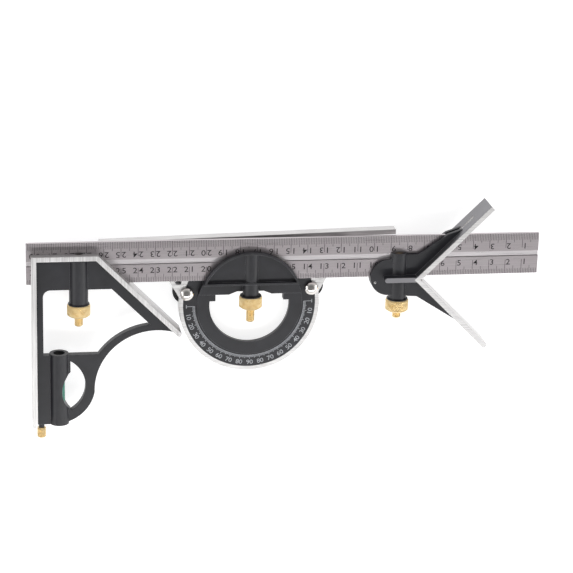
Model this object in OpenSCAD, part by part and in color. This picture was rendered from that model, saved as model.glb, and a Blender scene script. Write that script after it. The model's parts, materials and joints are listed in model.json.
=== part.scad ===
// Combination square set: one grooved rule that carries a square head, a protractor head and a centre head.
// The set lies on its back. +X runs along the rule, +Y across it, +Z up out of the graduated face.
// The origin is on the resting plane, midway along the rule and midway across the outline.

/* [Rule] */
// Length of the rule
rule_l = 305; // [300:1:360]
// Width of the rule
rule_w = 25; // [22:0.5:30]
// Thickness of the rule
rule_t = 2.4; // [2:0.1:3]
// Width of the groove that the clamp tongues run in
groove_w = 3.2; // [2.8:0.1:3.8]
// Depth of the groove
groove_d = 0.6; // [0.5:0.05:0.8]
// Height of the rule's middle plane above the resting plane
rule_h = 12; // [11.5:0.1:14]

/* [Places along the rule] */
// Clamp axis of the square head, from the rule's left end
square_at = 30.4; // [30:0.1:31.4]
// Swing axis of the protractor, from the rule's left end
turret_at = 131.8; // [131:0.1:140]
// Clamp axis of the centre head, from the rule's left end
centre_at = 220.2; // [219:0.1:245]

/* [Clamps] */
// Radius of the bolt's thread
thread_r = 2.6; // [2.3:0.05:2.65]
// Distance from the rule's centre line to the bolt's free end
bolt_reach = 38.9; // [38:0.1:45]
// Outer radius of the centre head's boss, which the other two bosses follow
boss_r = 5.3; // [5.1:0.1:6]
// Outer radius of the knurled nuts
nut_r = 6.85; // [6.4:0.05:7.4]
// Height of the knurled nuts
nut_h = 7.3; // [6:0.1:8]
// Thickness of the black washers
washer_t = 0.5; // [0.4:0.1:1]
// Wire diameter of the release springs
spring_wire = 0.5; // [0.4:0.05:0.55]

/* [Square head] */
// Distance from the 90 degree face to the clamp axis
sq_left = 27.6; // [27:0.1:30]
// Length of the 90 degree face
sq_tall = 105.8; // [104:0.1:130]
// Height of the top face above the rule's centre line
sq_top = 5.9; // [4:0.1:8]
// Distance from the clamp axis to the corner of the top face and the mitre
sq_right = 11; // [10.5:0.1:11.5]
// Depth of the machined faces
sq_depth = 14; // [13:0.5:16]
// Thickness of the machined flanges
flange_t = 2.9; // [2.4:0.1:3.4]
// Thickness of the web
web_t = 4.5; // [4:0.5:7]
// Outer radius of the level's housing
vial_house_r = 5.7; // [5.5:0.1:6.2]
// Radius of the level's bore
vial_bore_r = 3.5; // [3.2:0.1:3.8]
// Radius of the scriber's needle
needle_r = 0.9; // [0.7:0.05:1.1]
// Length of the scriber's needle inside the head
needle_l = 41; // [30:1:42]

/* [Protractor] */
// Distance from the rule's centre line to the swing axis
turret_drop = 29.8; // [29:0.1:32]
// Angle between the straight base and the rule
protractor_tilt = 1.4; // [0.6:0.1:1.8]
// Outer radius of the arch
arch_r = 42; // [41.5:0.1:43.5]
// Radius of the turret
turret_r = 31.5; // [31:0.1:32]
// Radius of the turret's opening
window_r = 23.9; // [22.5:0.1:24.5]
// Length of the straight base
base_l = 176; // [150:1:178]
// Thickness of the arch from its back to its scale
arch_t = 7.2; // [6.8:0.1:7.3]
// Radius of the dome nuts
lock_nut_r = 3.85; // [3.5:0.05:4]

/* [Centre head] */
// Length of each arm along its measuring face
arm_l = 60; // [55:0.5:75]
// Thickness of the arms
arm_t = 2.9; // [2.4:0.1:3.4]
// Depth of the arms
centre_depth = 18.4; // [17:0.2:20]

/* [Hidden] */
$fn = 64;
eps = 0.01;
black = [0.18, 0.18, 0.19];
steel = [0.72, 0.71, 0.72];
silver = [0.85, 0.85, 0.86];
brass = [0.86, 0.76, 0.52];

half_w = rule_w / 2;
half_t = rule_t / 2;
// gap between the rule and the slots that it runs in
slide_gap = 0.05;
slot_t = rule_t + 2 * slide_gap;
slot_floor = -half_w - slide_gap;
run_gap = 0.06;

// clamps: the shoulder is where the bolt steps down to its thread
shoulder_y = slot_floor - 4.5;
lift = 0.8;
tongue_y = -groove_w / 2 + slide_gap;
tongue_w = groove_w - lift - 2 * slide_gap;
tongue_x = 2.2;
// the bolt fills its boss, and the release spring sits in the room round its thread
bolt_r = thread_r + 0.7;
// ends of the bosses, which the washers bear on
sq_seat = slot_floor - 12.35;
turret_seat = slot_floor - 9.95;
centre_seat = slot_floor - 14.05;
bolt_top = 1.3;
centre_boss_top = 2.1;
nut_cone_h = 1;
nut_cone_in = 1.3;
sq_boss_r = boss_r + 0.3;
turret_boss_r = boss_r - 0.5;

// square head, from its clamp axis and the rule's centre line
sq_bottom = sq_top - sq_tall;
mitre_sum = sq_right + sq_top;
tip_x = 59.6;
vial_x = -sq_left + 15.9;
vial_top = -55.6;
vial_floor = sq_bottom + 2.5;
vial_wall = 0.6;
vial_r = vial_bore_r - run_gap;
vial_l = 35;
vial_low = vial_floor + 0.5;
plug_h = 2.4;
scallop_r = 16.2;
scallop_x = vial_x + 17.7;
loop_x = vial_x - 2.8;
loop_y = sq_bottom + 24;
loop_r = 24;
loop_t = 5.8;
loop_hole_x = vial_x + vial_house_r + 0.9;
loop_hole_h = 16.1;
arm_x = 45.7;
arm_y = -79;
arm_in = 36.6;
arm_out_y = -80.8;
arm_out = 42.2;
window_left = -sq_left + 6.8;
window_top = slot_floor - 3.4;
window_low = vial_top - 0.8;
window_round = 4.3;
window_mitre = mitre_sum - 13.7;
scriber_x = -sq_left + 5.3;
collar_h = 2.3;
knob_h = 6.3;
knob_r = 2.6;

// protractor, from its swing axis
base_t = 2.9;
base_top = arch_r + 0.4;
base_y = base_top - base_t;
arch_w = 2.4;
scale_r = arch_r - arch_w;
leg_x = 62;
leg_low = 6;
web_low = 3.35;
flange_r = turret_r + 1.9;
flange_low = 2.2;
lock_at = scale_r - 1.5;
lock_angle = 12.3;
lock_plate_r = 8;
lock_screw_r = 2;
lock_nut_h = 3.1;
chord_y = turret_drop - half_w - 2.35;
shelf_y = turret_drop + turret_seat;
dome_r = 30.4;
dome_y = 4.5;
dome_t = 4;
dome_rim = 2.4;
ring_back = 4.4;

// centre head, from its clamp axis and the rule's centre line
vee_x = 12.3;
vee_y = slot_floor - 0.1;
disc_x = -6.3;
disc_r = 11;
body_t = 7;
centre_slot_top = 23.2;
stem_w = 3;
stem_x = -9.6;
pin_r = 0.8;
pin_x = disc_x - 8.2;
pin_y = vee_y - 3;

// outline across the rule, which fixes the origin
outline_top = vee_y + (arm_l + arm_t) * sin(45);
outline_low = sq_bottom - collar_h - knob_h;
y_mid = (outline_top + outline_low) / 2;

module on_rule(at) {
    translate([at - rule_l / 2, -y_mid, rule_h]) children();
}

module on_turret() {
    translate([turret_at - rule_l / 2, -y_mid - turret_drop, 0]) children();
}

module on_frame() {
    on_turret() rotate([0, 0, protractor_tilt]) children();
}

// a cylinder along Y from y0 to y1, centred on x = 0 and z = 0
module rod_y(r, y0, y1) {
    translate([0, y1, 0]) rotate([90, 0, 0]) cylinder(r = r, h = y1 - y0);
}

// a block given by its low and high corners
module block(low, high) {
    translate(low) cube(high - low);
}

// flat outline drawn out evenly either side of the middle plane
module slab(t) {
    translate([0, 0, -t / 2]) linear_extrude(t) children();
}

// the room that the rule needs in a head
module rule_slot(top = 80) {
    block([-150, slot_floor, -slot_t / 2], [150, top, slot_t / 2]);
}

module rule_blade() {
    color(steel) on_rule(0) difference() {
        block([0, -half_w, -half_t], [rule_l, half_w, half_t]);
        block([-1, -groove_w / 2, half_t - groove_d], [rule_l + 1, groove_w / 2, half_t + 1]);
    }
}

// ---- the clamp that every head has ----

module clamp_bolt() {
    color(brass) {
        difference() {
            rod_y(bolt_r, shoulder_y, bolt_top);
            // room for the rule, with the bolt lifted too
            block([-5, slot_floor - 0.2 - lift, -5], [5, bolt_top + 1, half_t + 2 * slide_gap]);
        }
        block([-tongue_x, tongue_y, half_t - groove_d + 0.15],
              [tongue_x, tongue_y + tongue_w, half_t + 2 * slide_gap + eps]);
        rod_y(thread_r, -bolt_reach + 0.6, shoulder_y);
        translate([0, -bolt_reach + 0.6, 0]) rotate([90, 0, 0])
            cylinder(r1 = thread_r, r2 = thread_r - 0.5, h = 0.6);
    }
}

function ring_point(a, side, sides, mid_r, wire_r, y) =
    let (t = 360 * side / sides, r = mid_r + wire_r * cos(t))
    [r * cos(a), y + wire_r * sin(t), r * sin(a)];

// an open coil of round wire along Y between y0 and y1
module coil(y0, y1, turns) {
    steps = turns * 18;
    sides = 6;
    wire_r = spring_wire / 2;
    mid_r = (thread_r + bolt_r) / 2 + 0.02;
    run = y1 - y0 - spring_wire;
    points = [for (i = [0:steps]) for (s = [0:sides - 1])
        ring_point(i * 360 * turns / steps, s, sides, mid_r, wire_r, y0 + wire_r + run * i / steps)];
    walls = [for (i = [0:steps - 1]) for (s = [0:sides - 1])
        let (n = (s + 1) % sides)
        [i * sides + s, i * sides + n, (i + 1) * sides + n, (i + 1) * sides + s]];
    ends = [[for (s = [sides - 1:-1:0]) s], [for (s = [0:sides - 1]) steps * sides + s]];
    polyhedron(points, concat(walls, ends), convexity = 10);
}

module clamp_spring(seat) {
    color(silver) coil(seat + 0.1, shoulder_y - 0.1, 4);
}

module clamp_washer(seat) {
    color(black) difference() {
        rod_y(nut_r - 0.5, seat - washer_t, seat);
        rod_y(thread_r + 0.1, seat - washer_t - 1, seat + 1);
    }
}

module clamp_nut(seat) {
    top = seat - washer_t - slide_gap;
    color(brass) translate([0, top, 0]) rotate([90, 0, 0]) rotate_extrude()
        polygon([[thread_r + slide_gap, 0], [nut_r - 0.5, 0], [nut_r, 0.5], [nut_r, nut_h - nut_cone_h],
                 [nut_r - nut_cone_in, nut_h], [thread_r + slide_gap, nut_h]]);
}

module boss_bore(top) {
    rod_y(bolt_r + run_gap, -bolt_reach, top);
}

// ---- square head ----

module sq_outline() {
    difference() {
        union() {
            polygon([[-sq_left, sq_top], [sq_right, sq_top], [tip_x, mitre_sum - tip_x],
                     [arm_x, arm_y], [loop_x + loop_r, arm_y], [loop_x, loop_y],
                     [vial_x, sq_bottom], [-sq_left, sq_bottom]]);
            intersection() {
                translate([loop_x, loop_y]) circle(loop_r, $fn = 96);
                translate([vial_x, sq_bottom]) square([60, 60]);
            }
        }
        translate([arm_x, arm_y]) circle(arm_in, $fn = 96);
    }
}

module sq_window() {
    difference() {
        union() {
            polygon([[window_left + window_round, window_top], [window_mitre - window_top, window_top],
                     [window_mitre - window_low, window_low], [window_left, window_low],
                     [window_left, window_top - window_round]]);
            translate([window_left + window_round, window_top - window_round])
                circle(window_round, $fn = 48);
        }
        translate([arm_x, arm_out_y]) circle(arm_out, $fn = 96);
    }
}

module sq_loop_hole() {
    intersection() {
        translate([loop_x, loop_y]) circle(loop_r - loop_t, $fn = 96);
        translate([loop_hole_x, loop_y - loop_hole_h]) square([30, 2 * loop_hole_h]);
    }
}

// flanges along the three machined faces, the mitre ending in a rounded toe
module sq_flanges() {
    step = flange_t / sqrt(2);
    slab(sq_depth) polygon([[-sq_left, sq_bottom], [-sq_left + flange_t, sq_bottom],
        [-sq_left + flange_t, sq_top - flange_t],
        [sq_right - flange_t * (sqrt(2) - 1), sq_top - flange_t],
        [tip_x - step, mitre_sum - tip_x - step], [tip_x, mitre_sum - tip_x],
        [sq_right, sq_top], [-sq_left, sq_top]]);
    translate([tip_x - step / 2, mitre_sum - tip_x - step / 2, -sq_depth / 2])
        cylinder(r = flange_t / 2, h = sq_depth);
}

module square_head_casting() {
    color(black) on_rule(square_at) difference() {
        union() {
            difference() {
                slab(web_t) sq_outline();
                slab(web_t + 2) sq_window();
                slab(web_t + 2) sq_loop_hole();
            }
            sq_flanges();
            rod_y(sq_boss_r, sq_seat, sq_top);
            translate([vial_x, 0, 0]) rod_y(vial_house_r, sq_bottom, vial_top);
        }
        rule_slot();
        boss_bore(sq_top + 1);
        translate([vial_x, 0, 0]) rod_y(vial_bore_r, vial_floor, vial_top + 1);
        // scallop in the housing's wall that shows the level
        intersection() {
            translate([scallop_x, loop_y - 3.1, -10]) cylinder(r = scallop_r, h = 20, $fn = 96);
            block([vial_x, sq_bottom, -10], [loop_hole_x + 0.5, vial_top, 10]);
        }
        translate([scriber_x, 0, 0]) rod_y(needle_r + 0.15, sq_bottom - 1, sq_bottom + needle_l + 1.5);
    }
}

module at_vial() {
    on_rule(square_at) translate([vial_x, 0, 0]) children();
}

module level_vial_tube() {
    color([0.4, 0.68, 0.6, 0.6]) at_vial() difference() {
        rod_y(vial_r, vial_low, vial_low + vial_l);
        rod_y(vial_r - vial_wall, vial_low + vial_wall, vial_low + vial_l - vial_wall);
    }
}

module level_vial_liquid() {
    liquid_r = vial_r - vial_wall - 0.02;
    bubble_y = vial_low + vial_l / 2;
    color([0.35, 0.75, 0.55, 0.8]) at_vial() difference() {
        rod_y(liquid_r, vial_low + vial_wall + 0.02, vial_low + vial_l - vial_wall - 0.02);
        // the bubble lies at the top of the tube as the set rests
        translate([0, 0, liquid_r - 1.1]) {
            rod_y(0.9, bubble_y - 2.5, bubble_y + 2.5);
            translate([0, bubble_y - 2.5, 0]) sphere(r = 0.9, $fn = 32);
            translate([0, bubble_y + 2.5, 0]) sphere(r = 0.9, $fn = 32);
        }
    }
}

module level_vial_plug() {
    color([0.9, 0.9, 0.88]) at_vial()
        rod_y(vial_r, vial_low + vial_l + 0.02, vial_low + vial_l + plug_h);
}

module at_scriber() {
    on_rule(square_at) translate([scriber_x, 0, 0]) children();
}

module scriber_needle() {
    point_l = 5;
    color(steel) at_scriber() {
        rod_y(needle_r, sq_bottom - collar_h - 2, sq_bottom + needle_l - point_l);
        translate([0, sq_bottom + needle_l - point_l, 0]) rotate([-90, 0, 0])
            cylinder(r1 = needle_r, r2 = 0.08, h = point_l);
    }
}

module scriber_collar() {
    color(black) at_scriber() difference() {
        rod_y(1.7, sq_bottom - collar_h, sq_bottom - slide_gap);
        rod_y(needle_r, sq_bottom - collar_h - 1, sq_bottom + 1);
    }
}

module scriber_knob() {
    top = sq_bottom - collar_h;
    color(brass) at_scriber() difference() {
        translate([0, top, 0]) rotate([90, 0, 0]) rotate_extrude()
            polygon([[0, 0], [knob_r - 0.4, 0], [knob_r, 0.4], [knob_r, knob_h - 0.5],
                     [knob_r - 0.5, knob_h], [0, knob_h]]);
        rod_y(needle_r, top - 2, top + 1);
    }
}

// ---- protractor head ----

module frame_gusset_outline() {
    top_x = leg_x - 2.2;
    polygon([[-top_x, base_y + 1], [-scale_r - 1, leg_low], [scale_r + 1, leg_low],
             [top_x, base_y + 1]]);
}

// flange from the arch out to the straight base, on the side given by dir
module frame_leg(dir) {
    angle = atan2(arch_r - leg_low, leg_x - arch_r);
    // the leg ends inside the straight base
    run = norm([leg_x - arch_r, arch_r - leg_low]) - 1.1;
    translate([dir * (arch_r - 0.6), leg_low, 0]) rotate([0, 0, dir > 0 ? angle : 180 - angle])
        translate([0, dir > 0 ? -0.4 : 0.4 - arch_w, 0])
            block([-1, 0, 0], [run, arch_w, arch_t]);
}

module frame_pocket(dir) {
    linear_extrude(2 * arch_t, center = true) polygon([[dir * (arch_r - 1.4), leg_low + 8.2],
        [dir * (arch_r + 1.35), leg_low + 8.2],
        [dir * (leg_x - 7), base_y - 1.5], [dir * (arch_r - 6), base_y - 1.5]]);
}

module at_lock(dir) {
    a = dir > 0 ? lock_angle : 180 - lock_angle;
    rotate([0, 0, a]) translate([lock_at, 0, 0]) children();
}

module protractor_frame() {
    color(black) on_frame() difference() {
        union() {
            translate([0, 0, web_low]) linear_extrude(arch_t - 0.03 - web_low) frame_gusset_outline();
            cylinder(r = arch_r, h = arch_t, $fn = 128);
            block([-base_l / 2, base_y, 0], [base_l / 2, base_top, arch_t]);
            for (dir = [-1, 1]) frame_leg(dir);
        }
        translate([0, 0, -1]) cylinder(r = turret_r + run_gap, h = 30, $fn = 128);
        // hollow behind the scale
        translate([0, 0, -1]) cylinder(r = scale_r - 0.4, h = web_low + 0.5, $fn = 128);
        // seat that the turret's back flange turns in
        translate([0, 0, -1]) cylinder(r = flange_r + 0.4, h = web_low + 1, $fn = 128);
        for (dir = [-1, 1]) {
            translate([0, 0, arch_t / 2]) frame_pocket(dir);
            at_lock(dir) {
                translate([0, 0, -1]) cylinder(r = lock_screw_r + run_gap, h = 30);
                translate([0, 0, -1]) cylinder(r = lock_plate_r + 0.4, h = flange_low + 1.2);
            }
        }
    }
}

// the turret's closed half, cut back where the nut and its washer turn
module turret_upper(r) {
    difference() {
        intersection() {
            circle(r, $fn = 128);
            translate([-60, shelf_y]) square([120, 60]);
        }
        polygon([[-13, shelf_y - 0.1], [13, shelf_y - 0.1], [8, shelf_y + 1.9], [-8, shelf_y + 1.9]]);
    }
}

module dome_outline(inset = 0) {
    intersection() {
        translate([0, dome_y]) circle(dome_r - inset, $fn = 128);
        translate([-60, chord_y + inset]) square([120, 60]);
    }
}

module protractor_turret() {
    ring_top = arch_t + 0.3;
    seat_top = rule_h - half_t - slide_gap;
    face = rule_h + half_t + slide_gap;
    front = rule_h + half_t + dome_t;
    color(black) on_turret() difference() {
        union() {
            // ring that turns in the frame, with its back flange
            difference() {
                union() {
                    translate([0, 0, flange_low]) cylinder(r = turret_r, h = ring_top - flange_low, $fn = 128);
                    translate([0, 0, flange_low])
                        cylinder(r = flange_r, h = web_low - flange_low - slide_gap, $fn = 128);
                }
                translate([0, 0, -1]) cylinder(r = window_r, h = 30, $fn = 128);
                // the back is turned away round the window
                translate([0, 0, -1]) cylinder(r = turret_r - 2.9, h = 1 + ring_back, $fn = 128);
            }
            translate([0, 0, flange_low]) linear_extrude(seat_top - flange_low) turret_upper(turret_r);
            for (side = [-1, 1]) translate([side * 22.6, shelf_y - 1.6, (flange_low + ring_top) / 2])
                cube([4.6, 7, ring_top - flange_low], center = true);
            // dome in front of the rule, with its ledge below the rule and its raised rim
            translate([0, 0, face]) linear_extrude(front - dome_rim - face) dome_outline();
            translate([0, 0, face]) linear_extrude(front - face) difference() {
                dome_outline();
                dome_outline(1.2);
            }
            intersection() {
                translate([0, 0, ring_top]) linear_extrude(front - dome_rim - ring_top) dome_outline();
                block([-60, chord_y, ring_top - 1], [60, turret_drop + slot_floor, front]);
            }
            intersection() {
                translate([0, turret_drop, rule_h]) rod_y(turret_boss_r, turret_seat, 10);
                translate([0, 0, 1]) linear_extrude(40) union() {
                    dome_outline();
                    translate([-boss_r, turret_drop + turret_seat - 1]) square([2 * boss_r, 13]);
                }
            }
        }
        translate([0, turret_drop, rule_h]) {
            rule_slot();
            boss_bore(bolt_top + lift + 0.6);
        }
    }
}

module lock_screw(dir) {
    color(steel) on_frame() at_lock(dir)
        translate([0, 0, 0.5]) cylinder(r = lock_screw_r, h = arch_t + 1.3, $fn = 48);
}

module lock_plate(dir) {
    color(black) on_frame() at_lock(dir) difference() {
        translate([0, 0, 0.4]) cylinder(r = lock_plate_r, h = flange_low - 0.5);
        translate([0, 0, -1]) cylinder(r = lock_screw_r, h = 5, $fn = 48);
    }
}

module lock_nut(dir) {
    color(silver) on_frame() at_lock(dir) translate([0, 0, arch_t + slide_gap]) difference() {
        intersection() {
            cylinder(r = lock_nut_r, h = lock_nut_h, $fn = 96);
            translate([0, 0, lock_nut_h - 5.6]) sphere(r = 5.6, $fn = 96);
        }
        translate([0, 0, -1]) cylinder(r = lock_screw_r + slide_gap, h = 1 + 1.9);
    }
}

// ---- centre head ----

module vee_arm(dir) {
    translate([vee_x, vee_y, 0]) rotate([0, 0, dir * 45])
        block([-0.5, dir > 0 ? 0 : -arm_t, -centre_depth / 2], [arm_l, dir > 0 ? arm_t : 0, centre_depth / 2]);
}

module centre_web() {
    back = arm_t * sqrt(2);
    difference() {
        union() {
            translate([disc_x, vee_y]) circle(disc_r, $fn = 96);
            polygon([[disc_x, vee_y + disc_r], [vee_x - 12.3, vee_y + 13.9],
                [vee_x - 1.2, vee_y + 14.1], [vee_x + 2.1, vee_y + 16.2],
                [vee_x + 10.3, vee_y + 21.8], [vee_x + 16, vee_y + 26],
                [vee_x + 25.2, vee_y + 25.1 + back],
                [vee_x, vee_y],
                [vee_x + 24.5, vee_y - 24.4 - back],
                [vee_x - 1.2, vee_y - disc_r - 1.2], [disc_x, vee_y - disc_r]]);
        }
        translate([vee_x, vee_y]) rotate(-45) square([100, 100]);
    }
}

module centre_head_casting() {
    color(black) on_rule(centre_at) difference() {
        union() {
            slab(body_t) centre_web();
            vee_arm(1);
            vee_arm(-1);
            // machined stem between the disc end and the vee
            block([stem_x + stem_w / 2, vee_y - stem_w / 2, -centre_depth / 2],
                  [vee_x, vee_y + stem_w / 2, centre_depth / 2]);
            translate([stem_x + stem_w / 2, vee_y, -centre_depth / 2])
                cylinder(r = stem_w / 2, h = centre_depth);
            rod_y(boss_r, centre_seat, centre_boss_top);
        }
        rule_slot(centre_slot_top);
        boss_bore(centre_boss_top + 1);
        // relief in the corner of the vee
        translate([vee_x + 0.3, vee_y, -20]) cylinder(r = 0.8, h = 40, $fn = 32);
        translate([pin_x, pin_y, -body_t / 2 - 1]) cylinder(r = pin_r, h = body_t + 2, $fn = 32);
    }
}

module centre_stop_pin() {
    color(silver) on_rule(centre_at) translate([pin_x, pin_y, -body_t / 2])
        cylinder(r = pin_r, h = body_t + 0.2, $fn = 32);
}

rule_blade();
square_head_casting();
on_rule(square_at) clamp_bolt();  // square_clamp_bolt
on_rule(square_at) clamp_spring(sq_seat);  // square_clamp_spring
on_rule(square_at) clamp_washer(sq_seat);  // square_clamp_washer
on_rule(square_at) clamp_nut(sq_seat);  // square_clamp_nut
level_vial_tube();
level_vial_liquid();
level_vial_plug();
scriber_needle();
scriber_collar();
scriber_knob();
protractor_frame();
protractor_turret();
on_rule(turret_at) clamp_bolt();  // turret_clamp_bolt
on_rule(turret_at) clamp_spring(turret_seat);  // turret_clamp_spring
on_rule(turret_at) clamp_washer(turret_seat);  // turret_clamp_washer
on_rule(turret_at) clamp_nut(turret_seat);  // turret_clamp_nut
lock_screw(-1);  // lock_screw_left
lock_screw(1);  // lock_screw_right
lock_plate(-1);  // lock_plate_left
lock_plate(1);  // lock_plate_right
lock_nut(-1);  // lock_nut_left
lock_nut(1);  // lock_nut_right
centre_head_casting();
on_rule(centre_at) clamp_bolt();  // centre_clamp_bolt
on_rule(centre_at) clamp_spring(centre_seat);  // centre_clamp_spring
on_rule(centre_at) clamp_washer(centre_seat);  // centre_clamp_washer
on_rule(centre_at) clamp_nut(centre_seat);  // centre_clamp_nut
centre_stop_pin();
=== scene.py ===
"""Looks of the combination square set: satin rule, black enamelled heads with ground faces, brass clamps."""
import json
import math

import bmesh
import bpy
from mathutils import Matrix, Vector


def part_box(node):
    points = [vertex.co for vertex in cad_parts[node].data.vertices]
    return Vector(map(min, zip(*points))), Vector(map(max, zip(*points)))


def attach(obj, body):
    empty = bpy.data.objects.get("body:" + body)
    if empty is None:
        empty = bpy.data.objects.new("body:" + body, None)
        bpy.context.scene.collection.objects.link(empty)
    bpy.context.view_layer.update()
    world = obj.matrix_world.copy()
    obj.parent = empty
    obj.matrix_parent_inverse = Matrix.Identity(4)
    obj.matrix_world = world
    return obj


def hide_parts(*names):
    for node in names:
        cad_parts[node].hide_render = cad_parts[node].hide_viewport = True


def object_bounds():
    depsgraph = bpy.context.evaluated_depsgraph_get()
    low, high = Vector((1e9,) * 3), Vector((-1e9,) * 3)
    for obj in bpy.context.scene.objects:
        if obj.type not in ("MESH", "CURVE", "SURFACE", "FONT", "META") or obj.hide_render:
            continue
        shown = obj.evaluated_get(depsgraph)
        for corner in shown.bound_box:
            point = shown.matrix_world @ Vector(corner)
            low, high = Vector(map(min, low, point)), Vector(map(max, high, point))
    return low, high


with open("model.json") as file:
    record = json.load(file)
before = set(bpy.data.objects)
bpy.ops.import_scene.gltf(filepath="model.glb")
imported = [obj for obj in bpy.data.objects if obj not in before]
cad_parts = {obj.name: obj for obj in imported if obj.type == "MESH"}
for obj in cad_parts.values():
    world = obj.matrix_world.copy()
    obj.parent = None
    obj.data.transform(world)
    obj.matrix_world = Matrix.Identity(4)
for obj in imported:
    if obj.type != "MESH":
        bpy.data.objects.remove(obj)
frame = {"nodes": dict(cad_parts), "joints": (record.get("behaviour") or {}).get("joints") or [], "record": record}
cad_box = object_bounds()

MM = 0.001

# ---------------------------------------------------------------- places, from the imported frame

JOINTS = {joint["name"]: joint for joint in frame["joints"]}
MOUNTS = {mount["name"]: mount for mount in frame["record"]["mounts"]}
RULE_LOW, RULE_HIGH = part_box("rule_blade")
RULE_MID = (RULE_LOW + RULE_HIGH) / 2
SWING = Vector(JOINTS["protractor_swing"]["pos_m"])
BASE_OUT = Vector(MOUNTS["protractor_base"]["axis"])
BASE_ALONG = Vector((BASE_OUT.y, -BASE_OUT.x, 0))
UP = Vector((0, 0, 1))
HEADS = ("square", "turret", "centre")

# sizes of the castings and the rule that their boxes don't give
GROOVE_W = 3.2 * MM
ARM_T = 2.9 * MM
ARCH_R = 42 * MM
SCALE_R = 39.6 * MM
SCALE_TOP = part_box("protractor_frame")[1].z
# the arch's rim shows up to this height over the pivot, where the legs take over
RIM_TOP = 9 * MM
# the clamp bolts' hooked bodies end and their threads begin this far under the rule
THREAD_START = 4.55 * MM
# how deep a face may lie under a node's outermost one and still count as it
SKIN = 0.05 * MM


def reach(node, direction):
    """How far a CAD node reaches along a direction, measured from the origin."""
    along = Vector(direction).normalized()
    return max(along.dot(v.co) for v in frame["nodes"][node].data.vertices)


# ---------------------------------------------------------------- materials

def colour(code):
    """An sRGB hex colour as linear red, green, blue and alpha."""
    parts = [int(code[i:i + 2], 16) / 255 for i in (1, 3, 5)]
    return [p / 12.92 if p <= 0.04045 else ((p + 0.055) / 1.055) ** 2.4 for p in parts] + [1]


def add(material, kind, inputs, **settings):
    """Adds a node, sets it up, and links or sets each of its inputs."""
    tree = material.node_tree
    node = tree.nodes.new(kind)
    for name, value in settings.items():
        setattr(node, name, value)
    for key, value in inputs.items():
        if isinstance(value, bpy.types.NodeSocket):
            tree.links.new(value, node.inputs[key])
        else:
            node.inputs[key].default_value = value
    return node


def finish_of(name, inputs):
    """A material with one Principled shader, whose constant sockets are set here, and the place on it."""
    material = bpy.data.materials.new(name)
    material.use_nodes = True
    material.node_tree.nodes.clear()
    shader = add(material, "ShaderNodeBsdfPrincipled", inputs)
    add(material, "ShaderNodeOutputMaterial", {"Surface": shader.outputs["BSDF"]})
    return material, shader, add(material, "ShaderNodeTexCoord", {}).outputs["Object"]


def connect(material, shader, name, socket):
    material.node_tree.links.new(socket, shader.inputs[name])


def grain(material, place, cell, stretch=(1, 1, 1), detail=3):
    """Noise with cells of a real size in metres, drawn out along the stretch's axes."""
    scaled = add(material, "ShaderNodeMapping",
                 {"Vector": place, "Scale": [1 / (cell * s) for s in stretch]})
    return add(material, "ShaderNodeTexNoise",
               {"Vector": scaled.outputs["Vector"], "Scale": 1, "Detail": detail}).outputs["Fac"]


def spread(material, pattern, low, high, ends=(0.3, 0.7)):
    """A number or a colour that goes from low to high while the pattern goes between its ends."""
    is_colour = isinstance(low, str)
    share = add(material, "ShaderNodeMapRange", {
        "Value": pattern, "From Min": ends[0], "From Max": ends[1],
        "To Min": 0 if is_colour else low, "To Max": 1 if is_colour else high}).outputs["Result"]
    if not is_colour:
        return share
    return add(material, "ShaderNodeMix", {"Factor": share, "A": colour(low), "B": colour(high)},
               data_type="RGBA").outputs[2]


def past(material, place, direction, limit, blur=0.02 * MM):
    """1 beyond a plane that lies square to the direction at that distance from the origin, 0 before it."""
    along = add(material, "ShaderNodeVectorMath",
                {0: place, 1: list(Vector(direction).normalized())}, operation="DOT_PRODUCT")
    return spread(material, along.outputs["Value"], 0, 1, ends=(limit - blur, limit))


def outer_face(material, place, node, direction):
    """Mask of a node's outermost face in a direction."""
    return past(material, place, direction, reach(node, direction) - SKIN)


def off_line(material, place, y):
    """Distance to either side of the line along X at that y."""
    split = add(material, "ShaderNodeSeparateXYZ", {0: place})
    signed = add(material, "ShaderNodeMath", {0: split.outputs["Y"], 1: y}, operation="SUBTRACT")
    return add(material, "ShaderNodeMath", {0: signed.outputs[0]}, operation="ABSOLUTE").outputs[0]


def groove_masks(m, place):
    """Mask of the rule's groove, walls and floor, where a painted highlight goes, and mask of its walls alone,
    where painted shade goes.
    """
    off_middle = off_line(m, place, RULE_MID.y)
    half = GROOVE_W / 2
    sunk = past(m, place, -UP, SKIN - RULE_HIGH.z)
    narrow = spread(m, off_middle, 1, 0, ends=(half + 0.1 * MM, half + 0.12 * MM))
    at_wall = spread(m, off_middle, 0, 1, ends=(half - 0.06 * MM, half - 0.04 * MM))
    groove = add(m, "ShaderNodeMath", {0: sunk, 1: narrow}, operation="MULTIPLY").outputs[0]
    return groove, add(m, "ShaderNodeMath", {0: groove, 1: at_wall}, operation="MULTIPLY").outputs[0]


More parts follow.
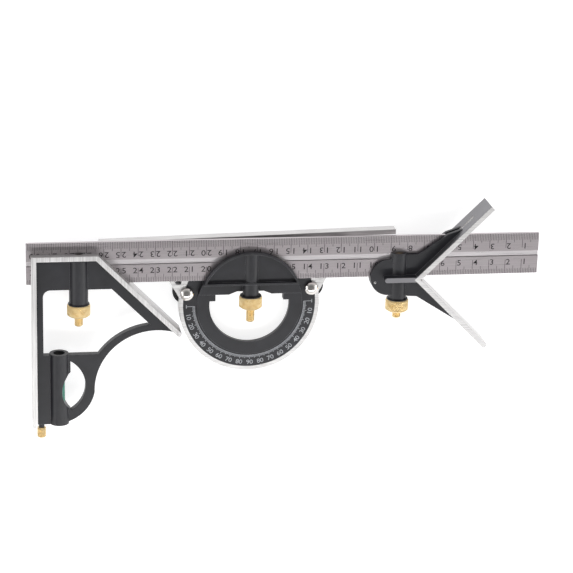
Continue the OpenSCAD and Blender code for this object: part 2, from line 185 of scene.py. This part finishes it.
def satin_stainless():
    """Rolled stainless rule, satin ground along its length: soft streaks and a wide, dull highlight."""
    m, shader, place = finish_of("satin_ground_stainless", {"Metallic": 1.0})
    # grinding lines are about 0.05 mm apart; they are drawn 0.35 mm apart so that they show
    lines = grain(m, place, 0.35 * MM, stretch=(90, 1, 1))
    clouds = grain(m, place, 14 * MM, stretch=(2, 1, 1), detail=2)
    tone = spread(m, clouds, "#bfb6b9", "#d2cdcf", ends=(0, 1))
    streaked = add(m, "ShaderNodeMix", {"Factor": spread(m, lines, 0, 0.5), "A": tone,
                                        "B": colour("#a59da0")}, data_type="RGBA").outputs[2]
    # a painted highlight makes the groove's floor a brighter grey, and painted shade makes its walls dark
    groove, wall_painted_shade = groove_masks(m, place)
    floor_painted_highlight = add(m, "ShaderNodeMix", {"Factor": groove, "A": streaked, "B": colour("#e9e4e6")},
                 data_type="RGBA").outputs[2]
    # painted shade: the groove's walls are painted a dark grey
    with_painted_groove_shade = add(m, "ShaderNodeMix", {"Factor": wall_painted_shade, "A": floor_painted_highlight, "B": colour("#6e676a")},
                 data_type="RGBA").outputs[2]
    connect(m, shader, "Base Color", with_painted_groove_shade)
    connect(m, shader, "Roughness", spread(m, lines, 0.27, 0.37))
    bevel = add(m, "ShaderNodeBevel", {"Radius": 0.25 * MM}, samples=4)
    bump = add(m, "ShaderNodeBump", {"Height": lines, "Distance": 0.02 * MM, "Strength": 0.6,
                                     "Normal": bevel.outputs["Normal"]})
    connect(m, shader, "Normal", bump.outputs["Normal"])
    return m


def etched_oxide():
    """Etched and blackened graduation: dull grey-brown, a little uneven where the acid bit."""
    m, shader, place = finish_of("etched_black_oxide", {"Metallic": 0.0, "Specular IOR Level": 0.3})
    bite = grain(m, place, 0.6 * MM)
    connect(m, shader, "Base Color", spread(m, bite, "#242022", "#3d383b", ends=(0.35, 0.65)))
    connect(m, shader, "Roughness", spread(m, bite, 0.55, 0.75))
    return m


def white_fill():
    """White paint wiped into engraved degree marks: matt, thin in places."""
    m, shader, place = finish_of("white_engraving_paint", {"Metallic": 0.0})
    thin = grain(m, place, 0.5 * MM)
    connect(m, shader, "Base Color", spread(m, thin, "#8f9196", "#bcbec2", ends=(0.35, 0.65)))
    connect(m, shader, "Roughness", spread(m, thin, 0.45, 0.65))
    return m


def rubbed_corners(m, bevel, mottling):
    """Mask of the corners where enamel has rubbed thin and where a lighter grey paints a highlight, found where
    the rounded normal leaves the face's.
    """
    face = add(m, "ShaderNodeNewGeometry", {})
    flat = add(m, "ShaderNodeVectorMath", {0: bevel.outputs["Normal"], 1: face.outputs["Normal"]},
               operation="DOT_PRODUCT").outputs["Value"]
    corner = spread(m, flat, 0, 1, ends=(0.985, 0.86))
    patchy = spread(m, mottling, 0.2, 0.9, ends=(0.35, 0.65))
    return add(m, "ShaderNodeMath", {0: corner, 1: patchy}, operation="MULTIPLY").outputs[0]


def cast_head(name, ground_masks, lines_along, dull_mask=None):
    """Iron casting in satin black enamel with some faces ground bright: the enamel has a faint orange peel and
    rubs thin on its corners, where a lighter grey also paints a highlight; the ground faces carry fine parallel
    scratches."""
    m, shader, place = finish_of(name, {})
    ground = 0
    for mask in ground_masks(m, place):
        ground = add(m, "ShaderNodeMath", {0: ground, 1: mask}, operation="MAXIMUM").outputs[0]
    peel = grain(m, place, 0.9 * MM)
    mottling = grain(m, place, 9 * MM, detail=2)
    # wheel marks are about 0.1 mm apart; they are drawn 0.4 mm apart so that they show
    scratches = grain(m, place, 0.4 * MM, stretch=[60 if c else 1 for c in lines_along])
    bevel = add(m, "ShaderNodeBevel", {"Radius": 0.4 * MM}, samples=6)
    enamel = spread(m, mottling, "#1d1d21", "#26262b")
    # the lighter grey on the corners is partly rubbed-thin enamel and partly a painted highlight along the edges
    worn_and_highlit = add(m, "ShaderNodeMix", {"Factor": rubbed_corners(m, bevel, mottling), "A": enamel,
                                    "B": colour("#7b7b80")}, data_type="RGBA").outputs[2]
    steel = spread(m, scratches, "#c4c2c2", "#e8e7e6")
    if dull_mask:
        steel = add(m, "ShaderNodeMix", {"Factor": dull_mask(m, place), "A": steel,
                                         "B": colour("#8b8a8d")}, data_type="RGBA").outputs[2]
    tone = add(m, "ShaderNodeMix", {"Factor": ground, "A": worn_and_highlit, "B": steel}, data_type="RGBA").outputs[2]
    dullness = add(m, "ShaderNodeMix", {"Factor": ground, "A": spread(m, peel, 0.38, 0.46),
                                        "B": spread(m, scratches, 0.36, 0.5)},
                   data_type="FLOAT").outputs[0]
    height = add(m, "ShaderNodeMix", {"Factor": ground, "A": peel, "B": scratches},
                 data_type="FLOAT").outputs[0]
    bump = add(m, "ShaderNodeBump", {"Height": height, "Distance": 0.03 * MM, "Strength": 0.5,
                                     "Normal": bevel.outputs["Normal"]})
    connect(m, shader, "Base Color", tone)
    connect(m, shader, "Metallic", ground)
    connect(m, shader, "Roughness", dullness)
    connect(m, shader, "Normal", bump.outputs["Normal"])
    return m


def square_head_ground(m, place):
    """Bright faces of the square head: both rims, the 90 degree face, the top and the mitre."""
    return [outer_face(m, place, "square_head_casting", direction)
            for direction in (UP, -UP, (-1, 0, 0), (0, 1, 0), (1, 1, 0))]


def turret_ground(m, place):
    """Only the turret's back is lapped bright."""
    return [outer_face(m, place, "protractor_turret", -UP)]


def arm_backs(m, place, inset):
    """Mask of everything beyond the plane at that depth under the backs of the centre head's arms."""
    low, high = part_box("centre_head_casting")
    vee_y = (low.y + high.y) / 2
    vee_x = high.x - ((high.y - low.y) / 2 - ARM_T / math.sqrt(2))
    split = add(m, "ShaderNodeSeparateXYZ", {0: place})
    folded = add(m, "ShaderNodeCombineXYZ", {"X": split.outputs["X"], "Y": off_line(m, place, vee_y)})
    return past(m, folded.outputs[0], (1, -1, 0), vee_x / math.sqrt(2) - ARM_T + inset)


def centre_head_ground(m, place):
    """Bright faces of the centre head: both arms all over, and the ends of the stem."""
    ends = [outer_face(m, place, "centre_head_casting", direction) for direction in (UP, -UP)]
    return [arm_backs(m, place, -SKIN), *ends]


def centre_head_dull(m, place):
    """The backs of the arms are only linished, which leaves them a darker grey."""
    beyond = arm_backs(m, place, 0.08 * MM)
    return add(m, "ShaderNodeMath", {0: 1, 1: beyond}, operation="SUBTRACT").outputs[0]


def protractor_ground(m, place):
    """Bright parts of the protractor: its back, the rim outside the scale, the legs and the base's faces."""
    node = "protractor_frame"
    from_swing = add(m, "ShaderNodeVectorMath", {0: place, 1: (SWING.x, SWING.y, 0)}, operation="SUBTRACT")
    flat = add(m, "ShaderNodeVectorMath", {0: from_swing.outputs[0], 1: (1, 1, 0)}, operation="MULTIPLY")
    radius = add(m, "ShaderNodeVectorMath", {0: flat.outputs[0]}, operation="LENGTH").outputs["Value"]
    off_scale = spread(m, radius, 0, 1, ends=(SCALE_R - 0.04 * MM, SCALE_R))
    at_rim = spread(m, radius, 0, 1, ends=(ARCH_R - 0.06 * MM, ARCH_R - 0.03 * MM))
    below_legs = past(m, place, -BASE_OUT, -BASE_OUT.dot(SWING) - RIM_TOP)
    front = add(m, "ShaderNodeMath", {0: off_scale, 1: outer_face(m, place, node, UP)}, operation="MULTIPLY")
    edge = add(m, "ShaderNodeMath", {0: at_rim, 1: below_legs}, operation="MULTIPLY")
    outside = [outer_face(m, place, node, direction)
               for direction in (-UP, BASE_OUT, BASE_ALONG, -BASE_ALONG)]
    return [front.outputs[0], edge.outputs[0], *outside]


def yellow_brass():
    """Free-cutting brass, turned and lightly lacquered: pale gold with soft rings of colour."""
    m, shader, place = finish_of("turned_yellow_brass", {"Metallic": 1.0})
    rings = grain(m, place, 0.3 * MM, stretch=(30, 1, 30))
    tarnish = grain(m, place, 2.5 * MM)
    connect(m, shader, "Base Color", spread(m, tarnish, "#e6c88e", "#f4deae"))
    connect(m, shader, "Roughness", spread(m, rings, 0.26, 0.4))
    bump = add(m, "ShaderNodeBump", {"Height": rings, "Distance": 0.02 * MM, "Strength": 0.4})
    connect(m, shader, "Normal", bump.outputs["Normal"])
    return m


def bright_chrome():
    """Polished chrome plate: mirror-like, with faint handling marks."""
    m, shader, place = finish_of("polished_chrome_plate", {"Metallic": 1.0, "Base Color": colour("#dcd8d4")})
    marks = grain(m, place, 0.8 * MM)
    connect(m, shader, "Roughness", spread(m, marks, 0.05, 0.14, ends=(0.35, 0.7)))
    return m


def plain_steel(name, low, high, dull_low, dull_high, cell):
    """Ground or drawn steel with fine marks of the given size."""
    m, shader, place = finish_of(name, {"Metallic": 1.0})
    marks = grain(m, place, cell)
    connect(m, shader, "Base Color", spread(m, marks, low, high))
    connect(m, shader, "Roughness", spread(m, marks, dull_low, dull_high))
    return m


def blackened_steel():
    """Steel under hot black oxide: near black with a slight oil sheen."""
    m, shader, place = finish_of("hot_blackened_steel", {"Metallic": 0.0})
    oil = grain(m, place, 1.6 * MM)
    connect(m, shader, "Base Color", spread(m, oil, "#121113", "#222125"))
    connect(m, shader, "Roughness", spread(m, oil, 0.32, 0.5))
    return m


def tinted_acrylic():
    """Cast acrylic tube of the level: tinted green, with a faint moulded haze."""
    m, shader, place = finish_of("green_tinted_acrylic", {"IOR": 1.49, "Transmission Weight": 0.35})
    haze = grain(m, place, 1.5 * MM)
    connect(m, shader, "Base Color", spread(m, haze, "#4c9480", "#62ab97", ends=(0, 1)))
    connect(m, shader, "Roughness", spread(m, haze, 0.04, 0.1))
    return m


def green_spirit():
    """Green dyed spirit of the level: a deep colour that lets little light straight through."""
    m, shader, place = finish_of("green_dyed_spirit", {"IOR": 1.36, "Transmission Weight": 0.15,
                                                       "Roughness": 0.04})
    depth = grain(m, place, 5 * MM, detail=1)
    connect(m, shader, "Base Color", spread(m, depth, "#4d9482", "#6cb29e", ends=(0, 1)))
    return m


def white_plaster():
    """Plaster that seals the level's end: matt and slightly grainy."""
    m, shader, place = finish_of("white_plaster", {"Metallic": 0.0})
    grit = grain(m, place, 0.4 * MM)
    connect(m, shader, "Base Color", spread(m, grit, "#cfccc2", "#eeece4", ends=(0, 1)))
    connect(m, shader, "Roughness", spread(m, grit, 0.8, 0.95))
    return m


# ---------------------------------------------------------------- which node has which finish

steel_rule = satin_stainless()
oxide = etched_oxide()
paint = white_fill()
brass = yellow_brass()
chrome = bright_chrome()
black_steel = blackened_steel()
tool_steel = plain_steel("ground_tool_steel", "#a9a7a8", "#c9c8c9", 0.22, 0.36, 0.5 * MM)
spring_wire = plain_steel("bright_drawn_wire", "#b9b8ba", "#dad9da", 0.18, 0.3, 0.3 * MM)

NODE_FINISHES = {
    "rule_blade": steel_rule,
    "square_head_casting": cast_head("square_head_enamel_and_ground_iron", square_head_ground, (0, 1, 0)),
    "protractor_frame": cast_head("protractor_enamel_and_ground_iron", protractor_ground, (1, 0, 0)),
    "protractor_turret": cast_head("turret_enamel", turret_ground, (1, 0, 0)),
    "centre_head_casting": cast_head("centre_head_enamel_and_ground_iron", centre_head_ground, (1, 0, 0),
                                     centre_head_dull),
    "level_vial_tube": tinted_acrylic(), "level_vial_liquid": green_spirit(),
    "level_vial_plug": white_plaster(),
    "scriber_needle": tool_steel, "scriber_collar": black_steel, "centre_stop_pin": tool_steel,
}
for side in ("left", "right"):
    NODE_FINISHES[f"lock_nut_{side}"] = chrome
    NODE_FINISHES[f"lock_screw_{side}"] = tool_steel
    NODE_FINISHES[f"lock_plate_{side}"] = black_steel
for head in HEADS:
    NODE_FINISHES[f"{head}_clamp_washer"] = black_steel
    NODE_FINISHES[f"{head}_clamp_spring"] = spring_wire


def give(obj, material):
    obj.data.materials.clear()
    obj.data.materials.append(material)


for node_name, material in NODE_FINISHES.items():
    give(frame["nodes"][node_name], material)

# ---------------------------------------------------------------- meshes


def piece(name, bm, material, body, smooth_angle=30):
    """Closes a bmesh into an object that rides on a body."""
    bmesh.ops.recalc_face_normals(bm, faces=bm.faces)
    mesh = bpy.data.meshes.new(name)
    bm.to_mesh(mesh)
    bm.free()
    mesh.shade_smooth()
    mesh.set_sharp_from_angle(angle=math.radians(smooth_angle))
    obj = bpy.data.objects.new(name, mesh)
    bpy.context.scene.collection.objects.link(obj)
    give(obj, material)
    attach(obj, body)
    return obj


def lathe(bm, rings, steps, centre, bored, relief=None):
    """Turns (y, radius, depth) rings about an axis along Y through centre. relief gives the share of each
    ring's depth that is cut away at an angle and a y. A bored piece joins its last ring to its first."""
    loops = []
    for y, radius, depth in rings:
        loop = []
        for i in range(steps):
            angle = 2 * math.pi * i / steps
            r = radius - (depth * relief(angle, y) if relief else 0)
            loop.append(bm.verts.new((centre.x + r * math.cos(angle), y, centre.z + r * math.sin(angle))))
        loops.append(loop)
    pairs = list(zip(loops, loops[1:]))
    if bored:
        pairs.append((loops[-1], loops[0]))
    for a, b in pairs:
        for i in range(steps):
            j = (i + 1) % steps
            bm.faces.new((a[i], a[j], b[j], b[i]))
    if not bored:
        bm.faces.new(loops[0])
        bm.faces.new(loops[-1])


def diamonds(count, rise, origin_y):
    """A diamond knurl: two crossing families of grooves, count of each round the piece."""
    def relief(angle, y):
        turn = count * angle / (2 * math.pi)
        climb = (y - origin_y) / rise
        a = abs(2 * ((turn + climb) % 1) - 1)
        b = abs(2 * ((turn - climb) % 1) - 1)
        return max(a, b) ** 3
    return relief


KNURL_DEPTH = 0.4 * MM
STEPS_PER_TOOTH = 8


def knurled(name, node, body, bore, edge, cone, cone_in, teeth, pitch):
    """A knurled brass grip in place of the CAD node: chamfered top edge, knurled band, coned lower end."""
    low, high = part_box(node)
    centre = (low + high) / 2
    radius = (high.x - low.x) / 2
    rows = 22
    band_low, band_high = low.y + cone, high.y - edge
    rings = [(low.y, bore, 0), (low.y, radius - cone * cone_in, 0)]
    for i in range(rows + 1):
        rings.append((band_low + (band_high - band_low) * i / rows, radius, KNURL_DEPTH))
    rings += [(high.y, radius - edge, 0), (high.y, bore, 0)]
    bm = bmesh.new()
    lathe(bm, rings, teeth * STEPS_PER_TOOTH, centre, bored=True, relief=diamonds(teeth, pitch, band_low))
    obj = piece(name, bm, brass, body, smooth_angle=18)
    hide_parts(node)
    return obj


THREAD_PITCH = 0.8 * MM
THREAD_R = 2.6 * MM
THREAD_DEPTH = 0.42 * MM
THREAD_STEPS = 40
RINGS_PER_TURN = 5
# the shaft's end is chamfered this far in and this far up
TIP_IN = 0.7 * MM
TIP_UP = 0.45 * MM


def threaded_bolt(head):
    """The clamp bolt in place of its CAD node: the hooked body, and a shaft with a real screw thread."""
    node = f"{head}_clamp_bolt"
    low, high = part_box(node)
    centre = Vector(((low.x + high.x) / 2, 0, RULE_MID.z))
    shoulder = RULE_LOW.y - THREAD_START
    bm = bmesh.new()
    bm.from_mesh(frame["nodes"][node].data)
    bmesh.ops.remove_doubles(bm, verts=bm.verts, dist=1e-6)
    bmesh.ops.bisect_plane(bm, geom=bm.verts[:] + bm.edges[:] + bm.faces[:], dist=1e-7,
                           plane_co=(0, shoulder + 0.02 * MM, 0), plane_no=(0, 1, 0), clear_inner=True)
    bmesh.ops.holes_fill(bm, edges=[e for e in bm.edges if e.is_boundary])
    count = int((shoulder - low.y) / THREAD_PITCH * RINGS_PER_TURN)
    rings = [(low.y, THREAD_R - TIP_IN, 0), (low.y + TIP_UP, THREAD_R, THREAD_DEPTH)]
    for i in range(1, count):
        y = low.y + TIP_UP + i * THREAD_PITCH / RINGS_PER_TURN
        if y < shoulder:
            rings.append((y, THREAD_R, THREAD_DEPTH))
    # the shaft runs a little way into the body
    rings.append((shoulder + 0.3 * MM, THREAD_R, THREAD_DEPTH))

    def screw(angle, y):
        return abs(2 * ((y / THREAD_PITCH + angle / (2 * math.pi)) % 1) - 1)

    lathe(bm, rings, THREAD_STEPS, centre, bored=False, relief=screw)
    obj = piece(f"{head}_bolt_threaded", bm, brass, f"{head}_bolt", smooth_angle=40)
    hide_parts(node)
    return obj


for head in HEADS:
    knurled(f"{head}_nut_knurled", f"{head}_clamp_nut", f"{head}_nut",
            bore=THREAD_R + 0.05 * MM, edge=0.5 * MM, cone=1.0 * MM, cone_in=1.3, teeth=36, pitch=1.5 * MM)
    threaded_bolt(head)
knurled("scriber_knob_knurled", "scriber_knob", "scriber", bore=0.9 * MM, edge=0.4 * MM, cone=0.5 * MM,
        cone_in=1, teeth=18, pitch=1.1 * MM)

# ---------------------------------------------------------------- graduations

# the etched and painted marks are drawn this much proud of the face, so that they show
MARK_PROUD = 0.012 * MM
# stroke thickening and half depth of a digit one unit high
DIGIT_STROKE = 0.004
DIGIT_HALF_DEPTH = 0.005
DIGIT_WIDEN = 1.15
# plain, five and ten marks of the rule
RULE_MARK_WIDTHS = (0.2 * MM, 0.22 * MM, 0.26 * MM)
RULE_DIGIT_OFF_LINE = 1.75 * MM
SCALE_LINE_R = 32.7 * MM
SCALE_LINE_W = 0.3 * MM
SCALE_LINE_STEP = 0.58 * MM
SCALE_END_MARK = 4.9
SCALE_DIGITS_R = 36.9 * MM


def digit_meshes():
    """Meshes of the ten digits, each one unit high and centred."""
    meshes = {}
    for digit in "0123456789":
        curve = bpy.data.curves.new(f"digit_{digit}", "FONT")
        curve.body = digit
        curve.extrude = DIGIT_STROKE
        curve.offset = DIGIT_STROKE
        curve.resolution_u = 3
        holder = bpy.data.objects.new(curve.name, curve)
        bpy.context.scene.collection.objects.link(holder)
        mesh = bpy.data.meshes.new_from_object(holder.evaluated_get(bpy.context.evaluated_depsgraph_get()))
        bpy.data.objects.remove(holder)
        bpy.data.curves.remove(curve)
        xs = [v.co.x for v in mesh.vertices]
        ys = [v.co.y for v in mesh.vertices]
        high = max(ys) - min(ys)
        mesh.transform(Matrix.Scale(1 / high, 4) @ Matrix.Translation(
            (-(max(xs) + min(xs)) / 2, -(max(ys) + min(ys)) / 2, 0)))
        meshes[digit] = mesh
    return meshes


DIGITS = digit_meshes()


def put_digit(bm, digit, place, height):
    """Adds one digit of that height, standing on the XY plane of the place matrix."""
    before = len(bm.verts)
    bm.from_mesh(DIGITS[digit])
    bm.verts.ensure_lookup_table()
    flatten = Matrix.Diagonal((height * DIGIT_WIDEN, height, MARK_PROUD / DIGIT_HALF_DEPTH, 1))
    bmesh.ops.transform(bm, matrix=place @ flatten, verts=bm.verts[before:])


def put_line(bm, place, length, width):
    """Adds one thin raised line along the place matrix's Y, from its origin."""
    size = Matrix.Diagonal((width, length, 2 * MARK_PROUD, 1))
    bmesh.ops.create_cube(bm, size=1, matrix=place @ Matrix.Translation((0, length / 2, 0)) @ size)


def rule_graduations():
    """Millimetre marks along both edges from the zero end, with the centimetres numbered."""
    bm = bmesh.new()
    marks = int((RULE_HIGH.x - RULE_LOW.x) / MM + 0.5)
    turned = Matrix.Rotation(math.pi, 4, "Z")
    rows = [
        # edge, turn that points into the face, lengths of the three marks, digits' middle and height
        (RULE_LOW.y, Matrix(), (3.1, 4.9, 8.7), 7.3, 3.4),
        (RULE_HIGH.y, turned, (4.1, 5.6, 9.0), 7.9, 3.5),
    ]
    for edge, facing, lengths, digit_at, digit_h in rows:
        for i in range(1, marks):
            x = RULE_HIGH.x - i * MM
            kind = 2 if i % 10 == 0 else 1 if i % 5 == 0 else 0
            place = Matrix.Translation((x, edge, RULE_HIGH.z)) @ facing
            put_line(bm, place, lengths[kind] * MM, RULE_MARK_WIDTHS[kind])
            if kind < 2:
                continue
            number = str(i // 10)
            for k, digit in enumerate(number):
                left_of_line = len(number) == 2 and k == 0
                shift = -RULE_DIGIT_OFF_LINE if left_of_line else RULE_DIGIT_OFF_LINE
                if len(number) == 1 and facing is turned:
                    shift = -shift
                at = place @ Matrix.Translation((shift, digit_at * MM, 0))
                put_digit(bm, digit, at, digit_h * MM)
    return piece("rule_graduations", bm, oxide, "rule")


def degree_scale():
    """White degree marks over the lower half of the arch, numbered every ten degrees from both ends."""
    bm = bmesh.new()
    face = Matrix.Translation((SWING.x, SWING.y, SCALE_TOP)) @ Matrix.Rotation(
        math.atan2(-BASE_OUT.x, BASE_OUT.y), 4, "Z")
    for degree in range(0, 181):
        out = face @ Matrix.Rotation(math.radians(180 + degree), 4, "Z") @ Matrix.Translation(
            (SCALE_LINE_R, 0, 0))
        along = out @ Matrix.Rotation(-math.pi / 2, 4, "Z")
        length = 2.2 if degree % 10 == 0 else 1.8 if degree % 5 == 0 else 1.3
        if degree in (0, 180):
            length = SCALE_END_MARK
        put_line(bm, along, length * MM, SCALE_LINE_W)
    for degree in range(0, 180):
        # the fine line that the marks stand on
        start = face @ Matrix.Rotation(math.radians(180 + degree + 0.5), 4, "Z")
        start = start @ Matrix.Translation((SCALE_LINE_R, -SCALE_LINE_STEP / 2, 0))
        put_line(bm, start, SCALE_LINE_STEP, SCALE_LINE_W)
    for degree in (0, 180):
        # the short bar across each end mark
        cap = face @ Matrix.Rotation(math.radians(180 + degree), 4, "Z")
        cap = cap @ Matrix.Translation((SCALE_LINE_R + SCALE_END_MARK * MM, -1.1 * MM, 0))
        put_line(bm, cap, 2.2 * MM, 0.4 * MM)
    for degree in range(10, 180, 10):
        number = str(min(degree, 180 - degree))
        at = face @ Matrix.Rotation(math.radians(180 + degree), 4, "Z")
        at = at @ Matrix.Translation((SCALE_DIGITS_R, 0, 0)) @ Matrix.Rotation(math.pi / 2, 4, "Z")
        for k, digit in enumerate(number):
            put_digit(bm, digit, at @ Matrix.Translation(((k - 0.5) * 2.0 * MM, 0, 0)), 2.7 * MM)
    return piece("degree_scale", bm, paint, "protractor_arch")


rule_graduations()
degree_scale()
for mesh in DIGITS.values():
    bpy.data.meshes.remove(mesh)

# ---------------------------------------------------------------- floor, light and camera


def pale_floor():
    """A matt pale table that gives off a little light of its own, as a light table does."""
    m, shader, place = finish_of("pale_matt_table", {
        "Roughness": 0.9, "Specular IOR Level": 0.1,
        "Emission Color": colour("#ffffff"), "Emission Strength": 0.75})
    connect(m, shader, "Base Color", spread(m, grain(m, place, 30 * MM), "#b9b9ba", "#c4c4c5", ends=(0, 1)))
    bm = bmesh.new()
    bmesh.ops.create_grid(bm, x_segments=1, y_segments=1, size=3.0)
    mesh = bpy.data.meshes.new("table_top")
    bm.to_mesh(mesh)
    bm.free()
    table = bpy.data.objects.new("table_top", mesh)
    table.location.z = cad_box[0][2] - 0.1 * MM
    bpy.context.scene.collection.objects.link(table)
    give(table, m)


def soft_light(name, place, aim, long, wide, watts):
    """A softbox that faces its aim, its long side level."""
    light = bpy.data.lights.new(name, "AREA")
    light.shape = "RECTANGLE"
    light.size = long
    light.size_y = wide
    light.energy = watts
    lamp = bpy.data.objects.new(name, light)
    lamp.location = place
    lamp.rotation_euler = (Vector(aim) - Vector(place)).to_track_quat("-Z", "Y").to_euler()
    bpy.context.scene.collection.objects.link(lamp)


def sky():
    """A dim ceiling over bright walls, brightest at the clamp nuts' side."""
    world = bpy.data.worlds.new("studio")
    world.use_nodes = True
    bpy.context.scene.world = world
    towards = add(world, "ShaderNodeTexCoord", {}).outputs["Generated"]
    split = add(world, "ShaderNodeSeparateXYZ", {0: towards})
    walls = spread(world, split.outputs["Z"], 1.15, 0.27, ends=(0.35, 0.9))
    front = spread(world, split.outputs["Y"], 1.15, 0.8, ends=(-0.9, 0.3))
    side = spread(world, split.outputs["X"], 0.85, 1.12, ends=(-0.7, 0.7))
    level = add(world, "ShaderNodeMath", {0: walls, 1: front}, operation="MULTIPLY").outputs[0]
    level = add(world, "ShaderNodeMath", {0: level, 1: side}, operation="MULTIPLY").outputs[0]
    background = world.node_tree.nodes["Background"]
    background.inputs["Color"].default_value = colour("#ffffff")
    connect(world, background, "Strength", level)


def studio():
    pale_floor()
    sky()
    soft_light("strip_softbox", (0.03, -0.75, 1.03), (0, 0, 0), long=1.6, wide=0.12, watts=7)
    for name, side in (("left_softbox", -1), ("right_softbox", 1)):
        soft_light(name, (side * 1.5, -0.1, 0.8), (0, 0, 0), long=1.4, wide=1.0, watts=6)


LENS_MM = 136.04
EYE_PLACE = (-0.19423, 0.43903, 1.20749)
EYE_TURN_DEGREES = (-19.303, -8.728, 1.54)


def camera():
    """A long lens on a full-frame sensor, high over the set and tilted down onto it."""
    lens = bpy.data.cameras.new("view")
    lens.sensor_width = 36
    lens.lens = LENS_MM
    lens.clip_start = 0.01
    eye = bpy.data.objects.new("view", lens)
    eye.location = EYE_PLACE
    eye.rotation_euler = [math.radians(a) for a in EYE_TURN_DEGREES]
    bpy.context.scene.collection.objects.link(eye)
    bpy.context.scene.camera = eye


studio()
camera()
bpy.context.scene.view_settings.view_transform = "Standard"
